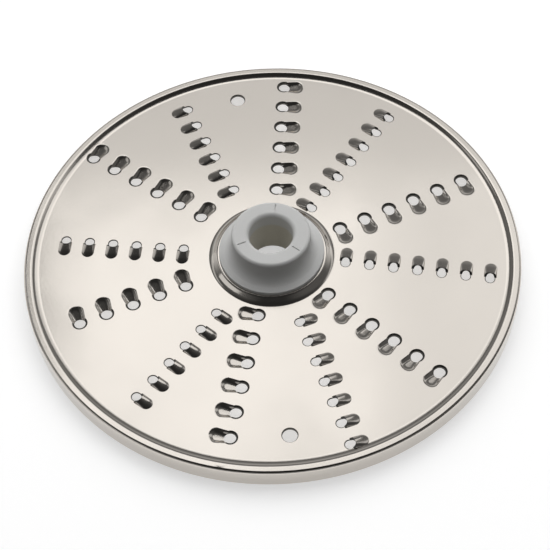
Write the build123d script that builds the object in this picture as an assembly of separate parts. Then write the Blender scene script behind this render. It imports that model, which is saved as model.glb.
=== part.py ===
from build123d import *
import os
from collections import namedtuple
from math import atan, degrees

# Food processor grating disc: a pressed steel plate with teeth on both faces, moulded into a plastic drive hub.
# Millimetres. The bore's axis is Z and the disc stands on its skirt at Z = 0.

# Pressed plate
DISC_DIAMETER = 170.0
SHEET = 1.0
SKIRT_HEIGHT = 6.5          # from the skirt's foot to the plate's upper face
RIM_LIFT = 1.0              # the rim's flat top above the plate's upper face
RIM_TOP_WIDTH = 2.5         # from the skirt's outside to the top of the rim's ramp
RIM_RAMP_WIDTH = 2.0
RIM_BEVEL = 0.7
BOSS_LIFT = 1.8             # the raised seat around the hub above the plate's upper face
BOSS_TOP_DIAMETER = 37.4
BOSS_RAMP_WIDTH = 2.2
EYE_WIDTH = 25.0            # the plate's six-sided hole, across its flats: the hub can't turn in it
PILOT_DIAMETER = 5.0        # two plain holes for the press tool's pins
PILOT_RADIUS = 71.0
PILOT_ANGLES = (98.0, -87.5)

# Teeth. Each has a hole at its mouth and a hollow hump behind it, which rises towards the mouth by its tilt in
# degrees. The fine ones stand up, the coarse ones down.
ToothSize = namedtuple("ToothSize", "hole_width hole_length hump_width crown_width hump_lift tilt reach pitch")
COARSE = ToothSize(
    hole_width=3.7, hole_length=4.6, hump_width=5.6, crown_width=2.6, hump_lift=1.3, tilt=9.5, reach=7.4,
    pitch=9.5)
FINE = ToothSize(
    hole_width=3.1, hole_length=3.7, hump_width=4.3, crown_width=1.8, hump_lift=1.4, tilt=11.0, reach=6.4,
    pitch=8.2)
MOUTH_SETBACK = 0.8         # from the middle of the hole's front round to the front of the hump
HOLE_SIDES = 10             # flats around each tooth's hole, few because the teeth are many
HUMP_SIDES = 8              # flats around the far end of its hump, if they went all the way round

# Rows of teeth: the row's angle from +X, the radius of its first tooth and the number of teeth.
ToothRow = namedtuple("ToothRow", "angle first_radius count")
COARSE_ROWS = (
    ToothRow(84.5, 28.5, 6),
    ToothRow(22.8, 26.0, 6),
    ToothRow(-43.3, 25.2, 6),
    ToothRow(-102.7, 25.1, 6),
    ToothRow(-159.5, 31.6, 5),
    ToothRow(143.3, 30.0, 6),
)
FINE_ROWS = (
    ToothRow(52.5, 24.2, 7),
    ToothRow(-11.0, 25.4, 7),
    ToothRow(-73.8, 29.3, 7),
    ToothRow(-130.4, 30.0, 6),
    ToothRow(171.8, 30.5, 6),
    ToothRow(112.8, 31.5, 6),
)

# Drive hub
HUB_RISE = 12.5             # the hub's top above the plate's upper face
HUB_DROP = 5.9              # the hub's foot below the plate's upper face
HUB_DIAMETER = 26.9
HUB_EDGE = 0.8
BORE_DIAMETER = 15.0
BORE_LIP = 0.8
FLANGE_DIAMETER = 35.4
FLANGE_THICKNESS = 1.7
FLANGE_BLEND = 2.0          # the slope between the upper flange and the hub's wall
EYE_CLEARANCE = 0.05        # between the hub's waist and the plate's eye
MARK_COUNT = 3              # thin radial lines on the hub's top face
MARK_WIDTH = 0.4
MARK_DEPTH = 0.25
MARK_ANGLE = 80.0

# Levels and radii worked out from the sizes above
DISC_RADIUS = DISC_DIAMETER / 2
PLATE_TOP = SKIRT_HEIGHT
PLATE_MIDDLE = PLATE_TOP - SHEET / 2
RIM_TOP = PLATE_TOP + RIM_LIFT
BOSS_TOP = PLATE_TOP + BOSS_LIFT
BOSS_UNDER = BOSS_TOP - SHEET
HUB_TOP = PLATE_TOP + HUB_RISE
HUB_FOOT = PLATE_TOP - HUB_DROP


def ring_of(points, bevels):
    """Revolve a half section about Z, with some of its corners bevelled first."""
    section = make_face(Polyline(*points, close=True))
    for corner, length in bevels:
        nearest = section.vertices().sort_by_distance((*corner, 0))[0]
        section = chamfer(nearest, length)
    return revolve(Plane.XZ * section, Axis.Z)


def near_round(width, sides):
    """A regular polygon that stands for a small round, with a flat towards each of +X and -X."""
    return Rot(0, 0, 180 / sides) * RegularPolygon(width / 2, sides, major_radius=False)


def eye_prism(width):
    """The six-sided prism that fills the plate's eye, as thick as the sheet."""
    hexagon = RegularPolygon(width / 2, 6, major_radius=False)
    return Pos(0, 0, BOSS_UNDER) * extrude(hexagon, SHEET)


def plate_blank():
    """The sheet before it is pierced: seat, web, rim and skirt in one section."""
    boss_edge = BOSS_TOP_DIAMETER / 2
    boss_foot = boss_edge + BOSS_RAMP_WIDTH
    rim_head = DISC_RADIUS - RIM_TOP_WIDTH
    rim_foot = rim_head - RIM_RAMP_WIDTH
    ramps = [(boss_edge, BOSS_TOP), (boss_foot, PLATE_TOP), (rim_foot, PLATE_TOP), (rim_head, RIM_TOP)]
    outer = (DISC_RADIUS, RIM_TOP)
    inner = (DISC_RADIUS - SHEET, RIM_TOP - SHEET)
    upper = [(0, BOSS_TOP), *ramps, outer, (DISC_RADIUS, 0)]
    lower = [(0, BOSS_UNDER), *[(r, z - SHEET) for r, z in ramps], inner, (DISC_RADIUS - SHEET, 0)]
    return ring_of(upper + lower[::-1], [(outer, RIM_BEVEL)])


def hump_form(size):
    """A hump on the plane Z = 0 from its mouth towards -Y, with sloping sides and a rounded far end.

    It reaches half a sheet below that plane, with the same slopes.
    """
    half_width = size.hump_width / 2
    slope = (half_width - size.crown_width / 2) / size.hump_lift
    height = size.hump_lift + SHEET / 2
    half_foot = half_width + slope * SHEET / 2
    length = size.reach - MOUTH_SETBACK - half_width
    end = Pos(0, -length) * near_round(2 * half_foot, HUMP_SIDES)
    barrel = Pos(0, (half_foot - length) / 2) * Rectangle(2 * half_foot, length + half_foot)
    whole = extrude(barrel + end, height, taper=degrees(atan(slope)))
    behind = Pos(0, -size.reach, height / 2) * Box(4 * half_foot, 2 * size.reach, 2 * height)
    return Pos(0, -MOUTH_SETBACK) * Rot(size.tilt, 0, 0) * Pos(0, 0, -SHEET / 2) * (whole & behind)


def hole_outline(size):
    """The outline of a tooth's hole: a round that is drawn out towards -Y, into the hump."""
    stretch = size.hole_length - size.hole_width
    front = near_round(size.hole_width, HOLE_SIDES)
    return front + Pos(0, -stretch) * front + Pos(0, -stretch / 2) * Rectangle(size.hole_width, stretch)


def tooth_pieces(size):
    """One tooth about its hole's front round, on the sheet's middle plane, with its hump up and towards -Y.

    Returns the metal that is pushed out of the sheet and the space that is cut from it.
    """
    form = hump_form(size)
    height = SHEET + size.hump_lift
    upper_half = Pos(0, -size.reach / 2, height / 2) * Box(4 * size.hump_width, 2 * size.reach, height)
    metal = (Pos(0, 0, SHEET / 2) * form) & upper_half
    hole = extrude(hole_outline(size), height, both=True)
    return metal, Pos(0, 0, -SHEET / 2) * form + hole


def row_places(row, pitch):
    """The places of a row's teeth, with the row's outward direction as local X."""
    for i in range(row.count):
        yield Pos(0, 0, PLATE_MIDDLE) * Rot(0, 0, row.angle) * Pos(row.first_radius + i * pitch, 0, 0)


def grating_plate():
    """The pressed plate with its teeth, its eye and its pilot holes.

    The fine teeth cut when this face is up, and the coarse ones when the disc is used the other way up.
    """
    standing_up = Rot(0, 0, 180)
    standing_down = Rot(0, 180, 0)
    humps = []
    spaces = [eye_prism(EYE_WIDTH)]
    for size, rows, turn in ((COARSE, COARSE_ROWS, standing_down), (FINE, FINE_ROWS, standing_up)):
        metal, space = tooth_pieces(size)
        for row in rows:
            for place in row_places(row, size.pitch):
                humps.append(place * turn * metal)
                spaces.append(place * turn * space)
    pilot = Cylinder(PILOT_DIAMETER / 2, 2 * SHEET)
    for angle in PILOT_ANGLES:
        spaces.append(Rot(0, 0, angle) * Pos(PILOT_RADIUS, 0, PLATE_MIDDLE) * pilot)
    return plate_blank() + humps - spaces


def drive_hub():
    """The plastic hub, moulded through the plate's eye with a flange on each face."""
    bore = BORE_DIAMETER / 2
    wall = HUB_DIAMETER / 2
    flange = FLANGE_DIAMETER / 2
    upper = BOSS_TOP + FLANGE_THICKNESS
    lower = BOSS_UNDER - FLANGE_THICKNESS
    head = ring_of(
        [(bore, BOSS_TOP), (bore, HUB_TOP), (wall, HUB_TOP), (wall, upper), (flange, upper), (flange, BOSS_TOP)],
        [((bore, HUB_TOP), BORE_LIP), ((wall, HUB_TOP), HUB_EDGE), ((wall, upper), FLANGE_BLEND)])
    foot = ring_of(
        [(bore, BOSS_UNDER), (bore, HUB_FOOT), (wall, HUB_FOOT), (wall, lower), (flange, lower),
         (flange, BOSS_UNDER)],
        [((bore, HUB_FOOT), BORE_LIP)])
    waist = eye_prism(EYE_WIDTH - 2 * EYE_CLEARANCE) - Cylinder(bore, 4 * HUB_TOP)
    mark = Pos(wall / 2, 0, HUB_TOP) * Box(wall, MARK_WIDTH, 2 * MARK_DEPTH)
    marks = [Rot(0, 0, MARK_ANGLE + i * 360 / MARK_COUNT) * mark for i in range(MARK_COUNT)]
    return head + waist + foot - marks


os.makedirs("parts", exist_ok=True)
export_step(grating_plate(), "parts/grating_plate.step")
export_step(drive_hub(), "parts/drive_hub.step")
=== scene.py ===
import logging
import math
from contextlib import contextmanager
from dataclasses import dataclass
from enum import Enum
from typing import Callable, Iterator, NamedTuple

import bpy
from mathutils import Matrix, Vector


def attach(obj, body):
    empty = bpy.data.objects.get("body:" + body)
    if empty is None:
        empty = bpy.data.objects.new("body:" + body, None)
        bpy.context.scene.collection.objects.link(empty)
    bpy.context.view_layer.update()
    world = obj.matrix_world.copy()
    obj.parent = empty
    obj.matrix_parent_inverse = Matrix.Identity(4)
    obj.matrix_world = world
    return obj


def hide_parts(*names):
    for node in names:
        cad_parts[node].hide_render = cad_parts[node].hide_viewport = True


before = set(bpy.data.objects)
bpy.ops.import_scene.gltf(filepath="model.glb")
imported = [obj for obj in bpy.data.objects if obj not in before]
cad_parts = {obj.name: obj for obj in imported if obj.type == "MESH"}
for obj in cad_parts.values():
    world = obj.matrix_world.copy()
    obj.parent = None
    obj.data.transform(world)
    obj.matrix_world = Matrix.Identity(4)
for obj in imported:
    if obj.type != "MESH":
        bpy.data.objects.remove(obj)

# A food processor's grating disc. Sizes are in millimetres, and MM takes them to Blender's metres.
MM = 0.001
CLOSE = 1e-6                # metres within which two points are one
SAME_WAY = 0.999            # cosine of the angle within which two directions are one
SMOOTH_ANGLE = math.radians(34.0)
FLAT_ANGLE = math.radians(0.1)
BEND_SEGMENTS = 5           # flats around each rounded corner of a turned section
PUNCH_CLEAR = 0.5           # how far a punch goes past the metal that it cuts
CLOUD_LOW = 0.3             # the noise's values at which a finish is at its glossiest and at its dullest
CLOUD_HIGH = 0.7
GRAIN_HEIGHT = 0.2
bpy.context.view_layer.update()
log = logging.getLogger("grating_disc")

Colour = tuple[float, float, float]
Span = tuple[float, float]


class Corner(NamedTuple):
    """One corner of a half section: its radius from the axis, its height and its rounding's reach."""

    radius: float
    height: float
    rounding: float = 0.0


class Loop(NamedTuple):
    """One level of a long dish or dome: its half width and its height."""

    half_width: float
    height: float


class Row(NamedTuple):
    """One row of teeth: its angle in degrees from +X, its first tooth's radius and the number of teeth."""

    angle: float
    first_radius: float
    count: int


class Side(Enum):
    """The face of the plate on which a tooth stands."""

    UPPER = "upper"
    LOWER = "lower"


class Face(Enum):
    """The plate's two finishes, by their material slots: polished steel, and the punched faces' duller steel
    with painted shade.
    """

    POLISHED = 0
    PUNCHED_SHADE = 1


class Cut(Enum):
    """What a Boolean modifier does with its tool."""

    JOIN = "UNION"
    TAKE_AWAY = "DIFFERENCE"


def deselect_all() -> None:
    """Leave nothing selected, neither the loaded nodes nor a piece."""
    bpy.ops.object.select_all(action="DESELECT")


def pick(piece: bpy.types.Object) -> None:
    """Select one piece alone and make it the active one.

    Args:
        piece: The object that the next operators act on.
    """
    deselect_all()
    piece.select_set(True)
    bpy.context.view_layer.objects.active = piece


@contextmanager
def editing(piece: bpy.types.Object) -> Iterator[None]:
    """Work on one piece in edit mode, with all of its mesh selected at the start.

    Args:
        piece: The object to edit.
    """
    pick(piece)
    bpy.ops.object.mode_set(mode="EDIT")
    bpy.ops.mesh.select_mode(type="VERT")
    bpy.ops.mesh.select_all(action="SELECT")
    yield
    bpy.ops.object.mode_set(mode="OBJECT")


def select_points(piece: bpy.types.Object, wanted: Callable[[Vector], bool]) -> None:
    """Select the points of the piece in edit mode that a test picks out.

    Args:
        piece: The object that is in edit mode.
        wanted: The test of a point's place.
    """
    bpy.ops.mesh.select_all(action="DESELECT")
    bpy.ops.object.mode_set(mode="OBJECT")
    for vertex in piece.data.vertices:
        vertex.select = wanted(vertex.co)
    bpy.ops.object.mode_set(mode="EDIT")


def apply_place(piece: bpy.types.Object, place: Matrix) -> None:
    """Move a piece and put the move into its mesh.

    Args:
        piece: The object, at the origin.
        place: Where it goes.
    """
    pick(piece)
    piece.matrix_world = place
    bpy.ops.object.transform_apply(location=True, rotation=True, scale=True)


def join(pieces: list[bpy.types.Object], name: str) -> bpy.types.Object:
    """Make several objects one.

    Args:
        pieces: The objects.
        name: The name of the whole.

    Returns:
        The joined object.
    """
    pick(pieces[0])
    for piece in pieces:
        piece.select_set(True)
    bpy.ops.object.join()
    pieces[0].name = name
    return pieces[0]


def add_finishes(piece: bpy.types.Object, finishes: list[bpy.types.Material]) -> None:
    """Give a piece its material slots in order."""
    for finish in finishes:
        piece.data.materials.append(finish)


def give_finish(piece: bpy.types.Object, face: Face, facing: Vector | None = None) -> None:
    """Give a tool's faces the finish that the cut leaves behind, which for punched faces is painted shade.

    Args:
        piece: The tool.
        face: The finish.
        facing: The direction of the faces that get it, or nothing for all of them.
    """
    for polygon in piece.data.polygons:
        if facing is None or polygon.normal.dot(facing) > SAME_WAY:
            polygon.material_index = face.value


def combine(piece: bpy.types.Object, tool: bpy.types.Object, cut: Cut) -> None:
    """Join a tool to a piece or take it away from it, and use the tool up.

    Args:
        piece: The closed solid that changes.
        tool: The closed solid that is joined or taken away.
        cut: Which of the two.
    """
    pick(piece)
    bpy.ops.object.modifier_add(type="BOOLEAN")
    modifier = piece.modifiers[-1]
    modifier.operation = cut.value
    modifier.solver = "MANIFOLD"
    modifier.material_mode = "INDEX"
    modifier.object = tool
    bpy.ops.object.modifier_apply(modifier=modifier.name)
    bpy.data.objects.remove(tool)


def turned_solid(name: str, section: list[Corner], steps: int) -> bpy.types.Object:
    """Spin a closed half section about Z, with its corners rounded first.

    Args:
        name: The object's name.
        section: The corners in order around the section.
        steps: The number of steps around the axis.

    Returns:
        The closed solid.
    """
    deselect_all()
    bpy.ops.mesh.primitive_circle_add(vertices=len(section), radius=MM, fill_type="NOTHING")
    piece = bpy.context.object
    piece.name = name
    for vertex, corner in zip(piece.data.vertices, section):
        vertex.co = (corner.radius * MM, 0, corner.height * MM)
    with editing(piece):
        bpy.ops.mesh.edge_face_add()
        for corner in section:
            if corner.rounding:
                place = Vector((corner.radius * MM, 0, corner.height * MM))
                select_points(piece, lambda point: (point - place).length < CLOSE)
                bpy.ops.mesh.bevel(
                    affect="VERTICES", offset=corner.rounding * MM, segments=BEND_SEGMENTS, profile=0.5)
        bpy.ops.mesh.select_all(action="SELECT")
        bpy.ops.mesh.delete(type="ONLY_FACE")
        bpy.ops.mesh.select_all(action="SELECT")
        bpy.ops.mesh.spin(steps=steps, angle=math.tau, center=(0, 0, 0), axis=(0, 0, 1))
        bpy.ops.mesh.select_all(action="SELECT")
        bpy.ops.mesh.remove_doubles(threshold=CLOSE)
        bpy.ops.mesh.normals_make_consistent(inside=False)
    return piece


def long_solid(
        name: str, loops: list[Loop], length: float, segments: int, near_share: float = 1.0,
        cuts: int = 1) -> bpy.types.Object:
    """Build a closed solid on level loops, then draw its -Y half out so that each loop has two round ends.

    Args:
        name: The object's name.
        loops: The levels from the first cap to the last.
        length: The distance between the middles of the two round ends.
        segments: The points of each loop, twice an odd number, so that none lies where the halves part.
        near_share: The near end's width as a share of the far end's.
        cuts: The number of lengths that the solid is divided into between its ends.

    Returns:
        The closed solid, with the middle of its near end on the Z axis.
    """
    deselect_all()
    first = loops[0]
    bpy.ops.mesh.primitive_circle_add(
        vertices=segments, radius=first.half_width * MM, fill_type="NGON",
        location=(0, 0, first.height * MM))
    piece = bpy.context.object
    piece.name = name
    bpy.ops.object.transform_apply(location=True, rotation=False, scale=False)
    with editing(piece):
        for below, above in zip(loops, loops[1:]):
            rise = (above.height - below.height) * MM
            growth = above.half_width / below.half_width
            bpy.ops.mesh.extrude_region_move(TRANSFORM_OT_translate={"value": (0, 0, rise)})
            bpy.ops.transform.resize(value=(growth, growth, 1), center_override=(0, 0, above.height * MM))
        select_points(piece, lambda point: point.y < 0)
        bpy.ops.transform.translate(value=(0, -length * MM, 0))
        bpy.ops.mesh.select_all(action="INVERT")
        bpy.ops.transform.resize(value=(near_share, 1, 1), center_override=(0, 0, 0))
        for cut in range(1, cuts):
            bpy.ops.mesh.select_all(action="SELECT")
            bpy.ops.mesh.bisect(
                plane_co=(0, -length * MM * cut / cuts, 0), plane_no=(0, 1, 0), threshold=CLOSE)
        bpy.ops.mesh.select_all(action="SELECT")
        bpy.ops.mesh.normals_make_consistent(inside=False)
    return piece


def slope_down(piece: bpy.types.Object, fade: float, power: float) -> None:
    """Lower a long solid's heights along -Y, until nothing is left of them.

    Args:
        piece: The solid, with Z = 0 where it leaves the sheet.
        fade: How far behind the Z axis its heights come to nothing.
        power: 1 for a straight slope, more for one that starts level and steepens.
    """
    for vertex in piece.data.vertices:
        vertex.co.z *= 1 - max(0.0, -vertex.co.y / (fade * MM)) ** power


def leaning_back(lean: float) -> Vector:
    """Find the direction that a tooth's mouth faces.

    Args:
        lean: The angle in degrees by which the mouth leans back from upright.

    Returns:
        The direction, which is +Y for an upright mouth.
    """
    tip = math.radians(lean)
    return Vector((0, math.cos(tip), math.sin(tip)))


def cut_across(
        piece: bpy.types.Object, setback: float, facing: Vector, keep_front: bool = False) -> None:
    """Cut a long solid across.

    Args:
        piece: The closed solid.
        setback: How far behind the Z axis the cut is at Z = 0.
        facing: The direction that the cut faces.
        keep_front: Whether the part in front of the cut stays, and not the other one.
    """
    with editing(piece):
        bpy.ops.mesh.bisect(
            plane_co=(0, -setback * MM, 0), plane_no=facing, use_fill=True, clear_outer=not keep_front,
            clear_inner=keep_front, threshold=CLOSE)


def in_rows(pattern: bpy.types.Object, rows: list[Row], pitch: float) -> list[bpy.types.Object]:
    """Copy one tooth's solid along every row of its kind, and use the pattern up.

    Args:
        pattern: The solid about the Z axis, with +X along the row.
        rows: The rows.
        pitch: The distance between neighbours in a row.

    Returns:
        One object for each row.
    """
    copies = []
    for row in rows:
        pick(pattern)
        bpy.ops.object.duplicate()
        copy = bpy.context.object
        bpy.ops.object.modifier_add(type="ARRAY")
        modifier = copy.modifiers[-1]
        modifier.count = row.count
        modifier.use_relative_offset = False
        modifier.use_constant_offset = True
        modifier.constant_offset_displace = (pitch * MM, 0, 0)
        bpy.ops.object.modifier_apply(modifier=modifier.name)
        turn = Matrix.Rotation(math.radians(row.angle), 4, "Z")
        apply_place(copy, turn @ Matrix.Translation((row.first_radius * MM, 0, 0)))
        copies.append(copy)
    bpy.data.objects.remove(pattern)
    return copies


def smooth(piece: bpy.types.Object) -> None:
    """Shade a piece smooth except at its creases, with the large flat faces kept flat.

    Args:
        piece: The finished mesh.
    """
    pick(piece)
    bpy.ops.object.shade_smooth_by_angle(angle=SMOOTH_ANGLE)
    bpy.ops.object.modifier_add(type="WEIGHTED_NORMAL")
    modifier = piece.modifiers[-1]
    modifier.keep_sharp = True
    bpy.ops.object.modifier_apply(modifier=modifier.name)


class NodeMaker:
    """Places and links the nodes of one tree."""

    def __init__(self, tree: bpy.types.NodeTree) -> None:
        """Take the tree that gets the nodes."""
        self.tree = tree

    def add(self, kind: str, **settings: object) -> bpy.types.Node:
        """Add a node.

        Args:
            kind: The node's type.
            settings: Values for its sockets by name with _ for a space, or for its own properties.

        Returns:
            The node.
        """
        node = self.tree.nodes.new(kind)
        for key, value in settings.items():
            socket = node.inputs.get(key.replace("_", " "))
            if socket is not None:
                socket.default_value = value
            else:
                setattr(node, key, value)
        return node

    def soft_step(self, span: Span, **settings: object) -> bpy.types.Node:
        """Add a node that goes smoothly from one value to another.

        Args:
            span: The inputs at which it starts and ends.
            settings: Values for its other sockets.

        Returns:
            The node.
        """
        start, end = span
        return self.add(
            "ShaderNodeMapRange", interpolation_type="SMOOTHSTEP", From_Min=start, From_Max=end, **settings)

    def link(self, start: bpy.types.NodeSocket, end: bpy.types.NodeSocket) -> None:
        """Join two sockets."""
        self.tree.links.new(start, end)


def bare_material(name: str) -> bpy.types.Material:
    """Make a material without nodes.

    Args:
        name: The material's name.

    Returns:
        The material.
    """
    material = bpy.data.materials.new(name)
    material.use_nodes = True
    material.node_tree.nodes.clear()
    return material


def uneven_group() -> bpy.types.ShaderNodeTree:
    """Make the group that the finishes use for handling marks and uneven gloss.

    Returns:
        A group that takes a point and puts out a cloudy mask and a fine grain, both about one half.
    """
    group = bpy.data.node_groups.new("uneven surface", "ShaderNodeTree")
    face = group.interface
    face.new_socket(name="Point", in_out="INPUT", socket_type="NodeSocketVector")
    face.new_socket(name="Cloud Scale", in_out="INPUT", socket_type="NodeSocketFloat")
    face.new_socket(name="Grain Scale", in_out="INPUT", socket_type="NodeSocketFloat")
    face.new_socket(name="Cloud", in_out="OUTPUT", socket_type="NodeSocketFloat")
    face.new_socket(name="Grain", in_out="OUTPUT", socket_type="NodeSocketFloat")
    maker = NodeMaker(group)
    start = maker.add("NodeGroupInput")
    end = maker.add("NodeGroupOutput")
    for pattern, detail in (("Cloud", 4.0), ("Grain", 2.0)):
        noise = maker.add("ShaderNodeTexNoise", Detail=detail)
        maker.link(start.outputs["Point"], noise.inputs["Vector"])
        maker.link(start.outputs[f"{pattern} Scale"], noise.inputs["Scale"])
        maker.link(noise.outputs["Fac"], end.inputs[pattern])
    return group


@dataclass(frozen=True)
class UnevenFinish:
    """A finish with a cloudy tint and gloss and a fine grain."""

    name: str
    colour: Colour
    dark: Colour
    metallic: float
    roughness_low: float
    roughness_high: float
    cloud_scale: float
    grain_scale: float
    grain_depth: float

    def with_painted_shade(
            self, maker: NodeMaker, point: bpy.types.NodeSocket,
            plain: bpy.types.NodeSocket) -> bpy.types.NodeSocket:
        """Paint shade into the colour in some places: nowhere, unless a finish has its own way.

        Args:
            maker: The maker of the material's nodes.
            point: The place on the piece.
            plain: The colour before.

        Returns:
            The colour after.
        """
        return plain

    def material(self, uneven: bpy.types.ShaderNodeTree) -> bpy.types.Material:
        """Make the material.

        Args:
            uneven: The group for the finish's unevenness.

        Returns:
            The finished material.
        """
        material = bare_material(self.name)
        maker = NodeMaker(material.node_tree)
        output = maker.add("ShaderNodeOutputMaterial")
        shader = maker.add("ShaderNodeBsdfPrincipled", Metallic=self.metallic)
        point = maker.add("ShaderNodeTexCoord").outputs["Object"]
        marks = maker.add(
            "ShaderNodeGroup", node_tree=uneven, Cloud_Scale=self.cloud_scale, Grain_Scale=self.grain_scale)
        gloss = maker.add(
            "ShaderNodeMapRange", From_Min=CLOUD_LOW, From_Max=CLOUD_HIGH, To_Min=self.roughness_low,
            To_Max=self.roughness_high)
        bump = maker.add("ShaderNodeBump", Strength=self.grain_depth, Distance=GRAIN_HEIGHT * MM)
        tint = maker.add("ShaderNodeMix", data_type="RGBA", A=(*self.colour, 1.0), B=(*self.dark, 1.0))
        colour = self.with_painted_shade(maker, point, tint.outputs["Result"])
        maker.link(point, marks.inputs["Point"])
        maker.link(marks.outputs["Cloud"], gloss.inputs["Value"])
        maker.link(marks.outputs["Cloud"], tint.inputs["Factor"])
        maker.link(marks.outputs["Grain"], bump.inputs["Height"])
        maker.link(gloss.outputs["Result"], shader.inputs["Roughness"])
        maker.link(colour, shader.inputs["Base Color"])
        maker.link(bump.outputs["Normal"], shader.inputs["Normal"])
        maker.link(shader.outputs["BSDF"], output.inputs["Surface"])
        return material


@dataclass(frozen=True)
class PolishedSteel(UnevenFinish):
    """Stainless sheet with a fine polish and a faint warm cast."""

    name: str = "polished steel"
    colour: Colour = (0.68, 0.637, 0.585)
    dark: Colour = (0.646, 0.60515, 0.55575)
    metallic: float = 1.0
    roughness_low: float = 0.09
    roughness_high: float = 0.16
    cloud_scale: float = 28.0
    grain_scale: float = 900.0
    grain_depth: float = 0.02


@dataclass(frozen=True)
class PunchedEdgeShade(PolishedSteel):
    """The punched faces around a hole: duller steel, with a near-black colour that is painted shade and
    painted dark reflection.
    """

    name: str = "punched edge painted shade"
    # near-black colour: painted shade and painted dark reflection on the punched faces, not the steel's own
    # colour
    colour: Colour = (0.13, 0.125, 0.115)
    dark: Colour = (0.1235, 0.11875, 0.10925)
    roughness_low: float = 0.3
    roughness_high: float = 0.45
    cloud_scale: float = 300.0
    grain_depth: float = 0.1


@dataclass(frozen=True)
class GreyPlastic(UnevenFinish):
    """Matte moulded plastic with a fine spark-eroded texture, and painted shade, darker and warmer, deep in
    the bore.
    """

    name: str = "grey plastic"
    colour: Colour = (0.6, 0.6, 0.59)
    dark: Colour = (0.55, 0.55, 0.54)
    metallic: float = 0.0
    roughness_low: float = 0.42
    roughness_high: float = 0.6
    cloud_scale: float = 60.0
    grain_scale: float = 2500.0
    grain_depth: float = 0.12
    # painted shade: a darker, warmer colour deep in the bore, where little light reaches
    bore_shade: Colour = (0.56, 0.535, 0.46)
    bore_shade_radii: Span = (8.1, 7.6)       # where the painted warm shade begins and where it is full, inwards and down
    bore_shade_heights: Span = (14.1, 13.1)

    def with_painted_shade(
            self, maker: NodeMaker, point: bpy.types.NodeSocket,
            plain: bpy.types.NodeSocket) -> bpy.types.NodeSocket:
        """Paint a darker, warmer shade into the colour in the bore's lower part.

        Args:
            maker: The maker of the material's nodes.
            point: The place on the piece.
            plain: The colour before.

        Returns:
            The colour after.
        """
        flat = maker.add("ShaderNodeVectorMath", operation="MULTIPLY")
        flat.inputs[1].default_value = (1.0, 1.0, 0.0)
        reach = maker.add("ShaderNodeVectorMath", operation="LENGTH")
        height = maker.add("ShaderNodeSeparateXYZ")
        within = maker.add("ShaderNodeMath", operation="MULTIPLY")
        warm_shade = maker.add("ShaderNodeMix", data_type="RGBA", B=(*self.bore_shade, 1.0))
        maker.link(point, flat.inputs[0])
        maker.link(flat.outputs["Vector"], reach.inputs[0])
        maker.link(point, height.inputs["Vector"])
        measures = ((reach.outputs["Value"], self.bore_shade_radii), (height.outputs["Z"], self.bore_shade_heights))
        for (measure, (start, end)), factor in zip(measures, within.inputs):
            share = maker.add("ShaderNodeMapRange", From_Min=start * MM, From_Max=end * MM)
            maker.link(measure, share.inputs["Value"])
            maker.link(share.outputs["Result"], factor)
        maker.link(within.outputs["Value"], warm_shade.inputs["Factor"])
        maker.link(plain, warm_shade.inputs["A"])
        return warm_shade.outputs["Result"]


@dataclass(frozen=True)
class PaleFloor:
    """White table, which shows white to the camera and in the steel and still takes the shadow."""

    name: str = "pale floor"
    colour: Colour = (0.63, 0.63, 0.63)
    glow: float = 0.5

    def material(self) -> bpy.types.Material:
        """Make the material.

        Returns:
            The finished material.
        """
        material = bare_material(self.name)
        maker = NodeMaker(material.node_tree)
        output = maker.add("ShaderNodeOutputMaterial")
        cloth = maker.add("ShaderNodeBsdfDiffuse", Color=(*self.colour, 1.0))
        light = maker.add("ShaderNodeEmission", Color=(1.0, 1.0, 1.0, 1.0))
        path = maker.add("ShaderNodeLightPath")
        either = maker.add("ShaderNodeMath", operation="MAXIMUM")
        any_of = maker.add("ShaderNodeMath", operation="MAXIMUM")
        level = maker.add("ShaderNodeMath", operation="MULTIPLY")
        level.inputs[1].default_value = self.glow
        both = maker.add("ShaderNodeAddShader")
        maker.link(path.outputs["Is Camera Ray"], either.inputs[0])
        maker.link(path.outputs["Is Glossy Ray"], either.inputs[1])
        maker.link(either.outputs[0], any_of.inputs[0])
        maker.link(path.outputs["Is Transmission Ray"], any_of.inputs[1])
        maker.link(any_of.outputs[0], level.inputs[0])
        maker.link(level.outputs[0], light.inputs["Strength"])
        maker.link(cloth.outputs["BSDF"], both.inputs[0])
        maker.link(light.outputs["Emission"], both.inputs[1])
        maker.link(both.outputs["Shader"], output.inputs["Surface"])
        return material


# The section of the rolled edge around a hole: shares of its width outwards and of its depth downwards.
ROLLED_EDGE = (
    (-0.05, 1.1), (0.0, 1.0), (0.08, 0.7), (0.2, 0.5), (0.6, 0.25), (0.85, 0.08), (1.0, 0.0), (1.1, -0.3))


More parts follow.
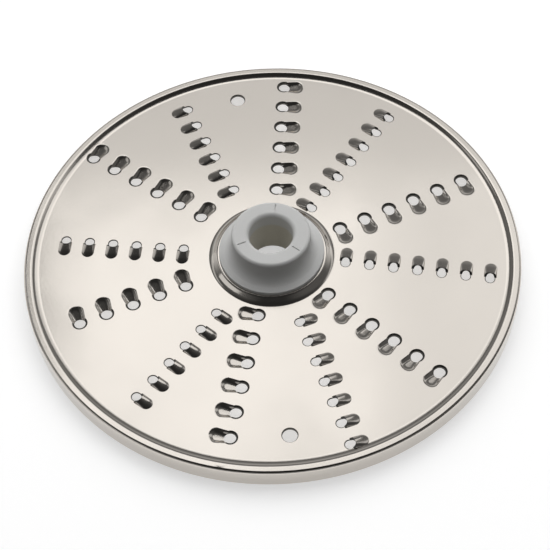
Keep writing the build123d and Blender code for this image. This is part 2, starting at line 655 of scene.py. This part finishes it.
@dataclass
class Tooth:
    """One kind of tooth: a hole at its mouth and a hump behind it, hollow from the other face."""

    side: Side
    hole_half: float            # half the hole's width, and how far it is drawn out under the hump
    hole_stretch: float
    mouth_half: float           # half the punch's width above the face on which the hump stands
    break_out: float            # how far the hole widens to each side on the other face
    ring_half: float            # the rolled edge's outer radius, and its depth at the hole
    ring_depth: float
    dome: list[Loop]            # the hump's outside and its inside, level by level
    dish: list[Loop]
    reach: float                # from the hole's middle to the hump's far end
    fade: float                 # where the hump's heights would come to nothing, and how they get there
    power: float
    near_share: float           # the hump's width at its mouth as a share of that at its far end
    pitch: float
    rows: list[Row]
    lean: float                 # the angle in degrees by which the mouth leans back from upright
    setback: float = 0.6        # from the hole's middle back to the mouth
    land: float = 0.3           # the hole's straight part, before it widens
    step_foot: float = 0.02     # where the punch leaves the hole's width and where it has the mouth's
    step_head: float = 0.05
    segments: int = 22
    hole_segments: int = 30
    cuts: int = 6

    def stand(self, plate_top: float, sheet: float) -> Matrix:
        """Find how the tooth stands in its row.

        Args:
            plate_top: The height of the plate's upper face.
            sheet: The sheet's thickness.

        Returns:
            The turn and lift from the tooth's own frame, whose hump points to -Y and up from Z = 0.
        """
        if self.side is Side.UPPER:
            return Matrix.Translation((0, 0, plate_top * MM)) @ Matrix.Rotation(math.pi, 4, "Z")
        return Matrix.Translation((0, 0, (plate_top - sheet) * MM)) @ Matrix.Rotation(math.pi, 4, "Y")

    def hump(self) -> bpy.types.Object:
        """Model the metal that is pushed out of the sheet.

        Returns:
            The dome, cut off at its mouth.
        """
        length = self.reach - self.dome[1].half_width
        piece = long_solid("hump", self.dome, length, self.segments, self.near_share, self.cuts)
        slope_down(piece, self.fade, self.power)
        facing = leaning_back(self.lean)
        cut_across(piece, self.setback, facing)
        # the mouth's cut face gets the punched finish's painted shade
        give_finish(piece, Face.PUNCHED_SHADE, facing)
        return piece

    def hollow(self, sheet: float) -> bpy.types.Object:
        """Model the space inside the hump.

        Args:
            sheet: The sheet's thickness.

        Returns:
            The dish, cut straight at its mouth.
        """
        length = self.reach - self.dish[2].half_width
        piece = long_solid("hollow", self.dish, length, self.segments, self.near_share, self.cuts)
        slope_down(piece, self.fade, self.power)
        cut_across(piece, self.setback, leaning_back(0.0))
        apply_place(piece, Matrix.Translation((0, 0, -sheet * MM)))
        return piece

    def hole(self, sheet: float) -> bpy.types.Object:
        """Model the punch that opens the sheet, and above it the mouth in the hump.

        Args:
            sheet: The sheet's thickness.

        Returns:
            The punch.
        """
        wide_half = self.hole_half + self.break_out
        levels = [
            Loop(wide_half, -sheet - PUNCH_CLEAR),
            Loop(wide_half, -sheet),
            Loop(self.hole_half, -self.land),
            Loop(self.hole_half, self.step_foot),
            Loop(self.mouth_half, self.step_head),
            Loop(self.mouth_half, self.dome[-1].height + PUNCH_CLEAR),
        ]
        piece = long_solid("hole", levels, self.hole_stretch, self.hole_segments)
        # the hole's walls get the punched finish's painted shade
        give_finish(piece, Face.PUNCHED_SHADE)
        return piece

    def ring(self, sheet: float) -> bpy.types.Object:
        """Model the cutter for the rolled edge around the hole, on the plate's upper face.

        Args:
            sheet: The sheet's thickness.

        Returns:
            The cutter, which leaves out a standing hump.
        """
        roll = self.ring_half - self.hole_half
        levels = [Loop(self.hole_half + out * roll, -down * self.ring_depth) for out, down in ROLLED_EDGE]
        piece = long_solid("ring", levels, 0.0, self.hole_segments)
        # the rolled edge gets the punched finish's painted shade
        give_finish(piece, Face.PUNCHED_SHADE)
        if self.side is Side.UPPER:
            cut_across(piece, self.setback, leaning_back(0.0), keep_front=True)
        else:
            apply_place(piece, Matrix.Translation((0, 0, -sheet * MM)) @ Matrix.Rotation(math.pi, 4, "Y"))
        return piece

    def solids(
            self, plate_top: float, sheet: float,
            finishes: list[bpy.types.Material]) -> tuple[list[bpy.types.Object], ...]:
        """Model one tooth and copy it along its rows.

        Args:
            plate_top: The height of the plate's upper face.
            sheet: The sheet's thickness.
            finishes: The plate's materials in the order of its slots.

        Returns:
            The humps, the hollows, the rings and the holes.
        """
        made = []
        for piece in (self.hump(), self.hollow(sheet), self.ring(sheet), self.hole(sheet)):
            apply_place(piece, self.stand(plate_top, sheet))
            add_finishes(piece, finishes)
            made.append(in_rows(piece, self.rows, self.pitch))
        return tuple(made)


def coarse_teeth() -> Tooth:
    """Describe the coarse teeth, which stand on the lower face and show as dishes from above.

    Returns:
        The kind of tooth.
    """
    return Tooth(
        side=Side.LOWER, hole_half=1.92, hole_stretch=0.15, mouth_half=2.3, break_out=0.0, ring_half=2.6,
        ring_depth=0.28, reach=7.5, fade=8.0, power=1.0, near_share=0.72, pitch=9.5, lean=0.0,
        dome=[
            Loop(3.15, -0.4), Loop(3.15, 0.0), Loop(2.95, 0.4), Loop(2.6, 0.8), Loop(2.15, 1.06),
            Loop(1.55, 1.18)],
        dish=[
            Loop(3.2, -1.0), Loop(3.2, -0.03), Loop(2.98, 0.0), Loop(2.8, 0.03), Loop(2.6, 0.1),
            Loop(2.36, 0.27), Loop(2.1, 0.56), Loop(1.88, 0.88), Loop(1.66, 1.11), Loop(1.4, 1.25),
            Loop(0.9, 1.32), Loop(0.4, 1.34)],
        rows=[
            Row(84.5, 28.5, 6), Row(22.8, 26.0, 6), Row(-43.3, 25.2, 6), Row(-102.7, 25.1, 6),
            Row(-159.5, 31.6, 5), Row(143.3, 30.0, 6)])


def fine_teeth() -> Tooth:
    """Describe the fine teeth, which stand on the upper face.

    Returns:
        The kind of tooth.
    """
    return Tooth(
        side=Side.UPPER, hole_half=1.52, hole_stretch=0.69, mouth_half=1.28, break_out=0.5, ring_half=1.8,
        ring_depth=0.1, reach=6.4, fade=6.9, power=1.2, near_share=1.0, pitch=8.2, lean=54.0,
        dome=[
            Loop(2.15, -0.4), Loop(2.15, 0.0), Loop(2.12, 0.28), Loop(2.03, 0.51), Loop(1.88, 0.7),
            Loop(1.62, 0.91), Loop(1.3, 1.06), Loop(1.0, 1.15), Loop(0.7, 1.2), Loop(0.4, 1.24),
            Loop(0.12, 1.25)],
        dish=[
            Loop(2.3, -1.0), Loop(2.3, -0.04), Loop(1.9, 0.0), Loop(1.6, 0.3), Loop(1.42, 0.65),
            Loop(1.3, 1.0), Loop(1.22, 1.25), Loop(1.02, 1.48), Loop(0.75, 1.62), Loop(0.4, 1.72),
            Loop(0.15, 1.75)],
        rows=[
            Row(52.5, 24.2, 7), Row(-11.0, 25.4, 7), Row(-73.8, 29.3, 7), Row(-130.4, 30.0, 6),
            Row(171.8, 30.5, 6), Row(112.8, 31.5, 6)])


@dataclass
class GratingPlate:
    """The pressed plate: seat for the hub, web with teeth on both faces, lifted rim and skirt."""

    radius: float = 85.0
    sheet: float = 1.0
    top: float = 6.5
    rim_lift: float = 0.75
    rim_top_width: float = 2.7  # from the skirt's outside to the top of the rim's ramp
    rim_ramp_width: float = 1.65
    rim_rounding: float = 0.95
    inner_rounding: float = 0.3
    skirt_edge: float = 0.2
    boss_lift: float = 1.8      # the hub's seat above the plate's upper face
    boss_top_radius: float = 18.8
    boss_ramp_width: float = 1.9
    bends: tuple[float, ...] = (0.4, 1.0, 1.0, 0.5)     # roundings at the two ramps' ends, from the hub out
    eye_radius: float = 13.0
    pilot_radius: float = 2.5   # the two plain holes
    pilot_bevel: float = 0.25
    pilot_reach: float = 71.0
    pilot_angles: tuple[float, float] = (98.0, -87.5)
    pilot_segments: int = 42
    steps: int = 240

    def blank(self) -> bpy.types.Object:
        """Spin the sheet before it is pierced.

        Returns:
            The closed solid.
        """
        boss_top = self.top + self.boss_lift
        rim_top = self.top + self.rim_lift
        rim_head = self.radius - self.rim_top_width
        inside = self.radius - self.sheet
        ramps = [
            (self.boss_top_radius, boss_top),
            (self.boss_top_radius + self.boss_ramp_width, self.top),
            (rim_head - self.rim_ramp_width, self.top),
            (rim_head, rim_top),
        ]
        bent = [Corner(radius, height, bend) for (radius, height), bend in zip(ramps, self.bends)]
        upper = [
            Corner(self.eye_radius, boss_top),
            *bent,
            Corner(self.radius, rim_top, self.rim_rounding),
            Corner(self.radius, 0.0, self.skirt_edge),
        ]
        lower = [
            Corner(self.eye_radius, boss_top - self.sheet),
            *[corner._replace(height=corner.height - self.sheet) for corner in bent],
            Corner(inside, rim_top - self.sheet, self.inner_rounding),
            Corner(inside, 0.0, self.skirt_edge),
        ]
        return turned_solid("grating_plate_sheet", upper + lower[::-1], self.steps)

    def pilots(self, finishes: list[bpy.types.Material]) -> list[bpy.types.Object]:
        """Model the two plain holes' punches.

        Args:
            finishes: The plate's materials in the order of its slots.

        Returns:
            The two punches.
        """
        levels = [
            Loop(self.pilot_radius, -2 * self.sheet),
            Loop(self.pilot_radius, -self.pilot_bevel),
            Loop(self.pilot_radius + self.pilot_bevel + PUNCH_CLEAR, PUNCH_CLEAR),
        ]
        punches = []
        for angle in self.pilot_angles:
            punch = long_solid("pilot", levels, 0.0, self.pilot_segments)
            turn = Matrix.Rotation(math.radians(angle), 4, "Z")
            apply_place(punch, turn @ Matrix.Translation((self.pilot_reach * MM, 0, self.top * MM)))
            # the plain holes' walls get the punched finish's painted shade
            give_finish(punch, Face.PUNCHED_SHADE)
            add_finishes(punch, finishes)
            punches.append(punch)
        return punches

    def build(self, kinds: list[Tooth], finishes: list[bpy.types.Material]) -> bpy.types.Object:
        """Build the plate with its teeth and holes.

        Args:
            kinds: The two kinds of teeth.
            finishes: The plate's materials in the order of its slots.

        Returns:
            The finished piece.
        """
        piece = self.blank()
        add_finishes(piece, finishes)
        humps, hollows, rings, holes = [], [], [], self.pilots(finishes)
        for kind in kinds:
            metal, space, edges, punches = kind.solids(self.top, self.sheet, finishes)
            humps += metal
            hollows += space
            rings += edges
            holes += punches
        combine(piece, join(humps, "humps"), Cut.JOIN)
        for tools, name in ((hollows, "hollows"), (rings, "rings"), (holes, "holes")):
            combine(piece, join(tools, name), Cut.TAKE_AWAY)
        with editing(piece):
            bpy.ops.mesh.dissolve_limited(angle_limit=FLAT_ANGLE, delimit={"NORMAL", "MATERIAL"})
        smooth(piece)
        return piece

    def dress(self, piece: bpy.types.Object) -> None:
        """Give the plate, which has its finishes from its tools, its place in the frame.

        Args:
            piece: The built plate.
        """
        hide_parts("grating_plate")
        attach(piece, "root")
        log.info("%s: %d faces", piece.name, len(piece.data.polygons))


@dataclass
class DriveHub:
    """The moulded hub: a bell with a plain bore, a flange on each side of the plate and index lines."""

    top: float = 19.0
    foot: float = 0.6
    wall_radius: float = 13.45
    shoulder: float = 1.1       # the rounding of the top's outer edge
    bore_radius: float = 7.5
    bore_lip: float = 1.5       # the bore's roundings above and below
    foot_lip: float = 1.3
    foot_rounding: float = 0.6
    seat: float = 8.3           # the upper face of the sheet that the two flanges hold
    sheet: float = 1.0
    eye_radius: float = 13.0
    flange_radius: float = 18.0
    flange_edge: float = 1.2    # the upper flange's thickness at its edge, and the lower one's
    flange_thickness: float = 1.7
    flange_rounding: float = 0.4
    bell_height: float = 4.0    # the upper flange's flare, with its corners in shares of width and height
    bell: tuple[Corner, ...] = (
        Corner(0.0, 1.0, 0.8), Corner(0.17, 0.52, 0.8), Corner(0.46, 0.2, 0.7), Corner(1.0, 0.0, 0.25))
    mark_width: float = 0.45
    mark_depth: float = 0.35
    mark_bevel: float = 0.12
    mark_margins: Span = (0.1, 0.2)     # from the top's inner and outer rounding to a line's ends
    mark_angles: tuple[float, ...] = (80.0, 200.0, 320.0)
    steps: int = 144

    def body(self) -> bpy.types.Object:
        """Spin the hub's section.

        Returns:
            The closed solid.
        """
        upper = self.seat + self.flange_edge
        under = self.seat - self.sheet
        lower = under - self.flange_thickness
        bell_width = self.flange_radius - self.wall_radius
        bell = [
            Corner(self.wall_radius + out * bell_width, upper + up * self.bell_height, rounding)
            for out, up, rounding in self.bell]
        section = [
            Corner(self.bore_radius, self.foot, self.foot_lip),
            Corner(self.bore_radius, self.top, self.bore_lip),
            Corner(self.wall_radius, self.top, self.shoulder),
            *bell,
            Corner(self.flange_radius, self.seat),
            Corner(self.eye_radius, self.seat),
            Corner(self.eye_radius, under),
            Corner(self.flange_radius, under),
            Corner(self.flange_radius, lower, self.flange_rounding),
            Corner(self.wall_radius, lower, self.foot_rounding),
            Corner(self.wall_radius, self.foot, self.foot_rounding),
        ]
        return turned_solid("drive_hub_moulding", section, self.steps)

    def marks(self) -> bpy.types.Object:
        """Model the cutters for the index lines on the top face.

        Returns:
            The cutters as one object.
        """
        inner_margin, outer_margin = self.mark_margins
        start = self.bore_radius + self.bore_lip + inner_margin
        length = self.wall_radius - self.shoulder - outer_margin - start
        cutters = []
        for angle in self.mark_angles:
            deselect_all()
            bpy.ops.mesh.primitive_cube_add(size=MM)
            cutter = bpy.context.object
            with editing(cutter):
                bpy.ops.transform.resize(value=(length, self.mark_width, 2 * self.mark_depth))
                bpy.ops.mesh.bevel(offset=self.mark_bevel * MM, segments=2)
                bpy.ops.transform.translate(value=((start + length / 2) * MM, 0, self.top * MM))
            apply_place(cutter, Matrix.Rotation(math.radians(angle), 4, "Z"))
            cutters.append(cutter)
        return join(cutters, "marks")

    def build(self) -> bpy.types.Object:
        """Build the hub.

        Returns:
            The finished piece.
        """
        piece = self.body()
        combine(piece, self.marks(), Cut.TAKE_AWAY)
        smooth(piece)
        return piece

    def dress(self, piece: bpy.types.Object, plastic: bpy.types.Material) -> None:
        """Give the hub its finish and its place in the frame.

        Args:
            piece: The built hub.
            plastic: Its material.
        """
        piece.data.materials.clear()
        piece.data.materials.append(plastic)
        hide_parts("drive_hub")
        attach(piece, "root")
        log.info("%s: %d faces", piece.name, len(piece.data.polygons))


class Lights(Enum):
    """What a lamp reaches."""

    ALL = "all"
    MATTE = "matte"
    STEEL = "steel"


class Lamp(NamedTuple):
    """One soft box: where it stands, its size in metres, how bright its face is and what it reaches."""

    name: str
    azimuth: float
    elevation: float
    across: float
    width: float
    height: float
    radiance: float
    lights: Lights = Lights.ALL


@dataclass
class Studio:
    """Floor, lamps, surroundings and camera, with the floor and the lamps in metres."""

    floor_size: float = 12.0
    floor_cuts: int = 3
    lamp_distance: float = 1.5
    ceiling_back: float = 0.12          # brightness overhead, beyond the disc and behind the camera
    ceiling_front: float = 0.025
    horizon: float = 0.6
    sides: float = 0.08
    back_span: Span = (0.1, 0.6)        # how far a direction points away, up and sideways where these change
    low_span: Span = (0.66, 0.0)
    side_span: Span = (0.2, 0.75)
    sensor: float = 36.0
    focal_pixels: float = 1700.0        # the focal length and the width of the picture
    picture_pixels: float = 550.0
    nearest: float = 10.0
    elevation: float = 55.0235          # degrees, and the roll in radians
    roll: float = -0.0469
    aim: tuple[float, float, float] = (-1.07, 6.93, 582.3)     # the plate's middle, as the camera sees it
    plate_top: float = 6.5
    lamps: tuple[Lamp, ...] = (
        Lamp("lower box", 0.0, 47.6, 0.105, 0.83, 0.2, 0.74),
        Lamp("upper box", 0.0, 58.9, -0.09, 0.42, 0.4, 1.25),
        Lamp("upper right box", 0.0, 58.9, 0.32, 0.4, 0.4, 1.0),
        Lamp("left box", -105.0, 22.0, 0.0, 1.3, 0.5, 0.7),
        Lamp("left strip", -55.0, 36.0, 0.0, 0.3, 1.3, 0.4),
        Lamp("right strip", 52.0, 34.0, 0.0, 0.3, 1.4, 0.45),
        Lamp("front box", 180.0, 18.0, 0.0, 3.4, 0.66, 0.3, Lights.STEEL),
        Lamp("fill", 0.0, 54.0, 0.0, 2.4, 1.5, 1.45, Lights.MATTE),
        Lamp("top fill", 0.0, 82.0, 0.0, 1.0, 0.7, 0.6, Lights.MATTE),
        Lamp("back fill", 0.0, 35.0, 0.0, 2.6, 0.9, 0.8, Lights.MATTE),
        Lamp("right fill", 95.0, 45.0, 0.0, 1.2, 0.9, 0.75, Lights.MATTE),
        Lamp("front fill", 180.0, 60.0, 0.0, 0.6, 0.6, 0.5, Lights.MATTE),
    )

    def build_floor(self) -> None:
        """Lay the floor that the disc stands on."""
        deselect_all()
        bpy.ops.mesh.primitive_plane_add(size=self.floor_size)
        floor = bpy.context.object
        floor.name = "table"
        with editing(floor):
            bpy.ops.mesh.subdivide(number_cuts=self.floor_cuts)
        floor.data.materials.append(PaleFloor().material())

    def hang_lamps(self) -> None:
        """Hang the soft boxes around the disc, each facing it."""
        for lamp in self.lamps:
            data = bpy.data.lights.new(lamp.name, "AREA")
            data.shape = "RECTANGLE"
            data.size = lamp.width
            data.size_y = lamp.height
            data.energy = lamp.radiance * math.pi * lamp.width * lamp.height
            light = bpy.data.objects.new(lamp.name, data)
            bpy.context.scene.collection.objects.link(light)
            turn = math.radians(lamp.azimuth)
            rise = math.radians(lamp.elevation)
            out = Vector((math.sin(turn) * math.cos(rise), math.cos(turn) * math.cos(rise), math.sin(rise)))
            across = Vector((math.cos(turn), -math.sin(turn), 0))
            light.location = out * self.lamp_distance + across * lamp.across
            light.visible_glossy = lamp.lights is not Lights.MATTE
            light.visible_diffuse = lamp.lights is not Lights.STEEL
            light.rotation_euler = out.to_track_quat("Z", "Y").to_euler()

    def set_surroundings(self) -> None:
        """Give the room a dim ceiling and a paler horizon, both dark behind the camera, and paler sides."""
        world = bpy.data.worlds.new("room")
        bpy.context.scene.world = world
        world.use_nodes = True
        maker = NodeMaker(world.node_tree)
        shade = world.node_tree.nodes["Background"]
        shade.inputs["Color"].default_value = (1.0, 1.0, 1.0, 1.0)
        place = maker.add("ShaderNodeTexCoord")
        parts = maker.add("ShaderNodeSeparateXYZ")
        back = maker.soft_step(self.back_span)
        low = maker.soft_step(self.low_span, To_Min=self.ceiling_back, To_Max=self.horizon)
        level = maker.add("ShaderNodeMix", A=self.ceiling_front)
        sideways = maker.add("ShaderNodeMath", operation="ABSOLUTE")
        beside = maker.soft_step(self.side_span, To_Max=self.sides)
        total = maker.add("ShaderNodeMath", operation="ADD")
        maker.link(place.outputs["Generated"], parts.inputs["Vector"])
        maker.link(parts.outputs["X"], sideways.inputs[0])
        maker.link(sideways.outputs["Value"], beside.inputs["Value"])
        maker.link(parts.outputs["Y"], back.inputs["Value"])
        maker.link(parts.outputs["Z"], low.inputs["Value"])
        maker.link(back.outputs["Result"], level.inputs["Factor"])
        maker.link(low.outputs["Result"], level.inputs["B"])
        maker.link(beside.outputs["Result"], total.inputs[0])
        maker.link(level.outputs["Result"], total.inputs[1])
        maker.link(total.outputs["Value"], shade.inputs["Strength"])

    def place_camera(self) -> None:
        """Stand the camera where the photograph was taken from."""
        rise = math.radians(self.elevation)
        ahead = Vector((0, math.cos(rise), -math.sin(rise)))
        level_up = Vector((0, math.sin(rise), math.cos(rise)))
        level_right = Vector((1, 0, 0))
        cosine, sine = math.cos(self.roll), math.sin(self.roll)
        right = cosine * level_right + sine * level_up
        up = -sine * level_right + cosine * level_up
        across, over, away = self.aim
        centre = Vector((0, 0, self.plate_top))
        eye = (centre - across * right - over * up - away * ahead) * MM
        data = bpy.data.cameras.new("camera")
        data.lens = self.focal_pixels / self.picture_pixels * self.sensor
        data.sensor_width = self.sensor
        data.sensor_fit = "HORIZONTAL"
        data.clip_start = self.nearest * MM
        camera = bpy.data.objects.new("camera", data)
        bpy.context.scene.collection.objects.link(camera)
        turn = Matrix((right, up, -ahead)).transposed().to_4x4()
        camera.matrix_world = Matrix.Translation(eye) @ turn
        bpy.context.scene.camera = camera

    def build(self) -> None:
        """Set up everything that isn't part of the disc."""
        self.build_floor()
        self.hang_lamps()
        self.set_surroundings()
        self.place_camera()
        bpy.context.scene.view_settings.view_transform = "Standard"


def main() -> None:
    """Build the disc's pieces in order, then the studio around them."""
    logging.basicConfig(level=logging.INFO, format="%(name)s: %(message)s")
    uneven = uneven_group()
    plate = GratingPlate()
    finishes = [PolishedSteel().material(uneven), PunchedEdgeShade().material(uneven)]
    plate.dress(plate.build([coarse_teeth(), fine_teeth()], finishes))
    hub = DriveHub()
    hub.dress(hub.build(), GreyPlastic().material(uneven))
    Studio().build()


if __name__ == "__main__":
    main()
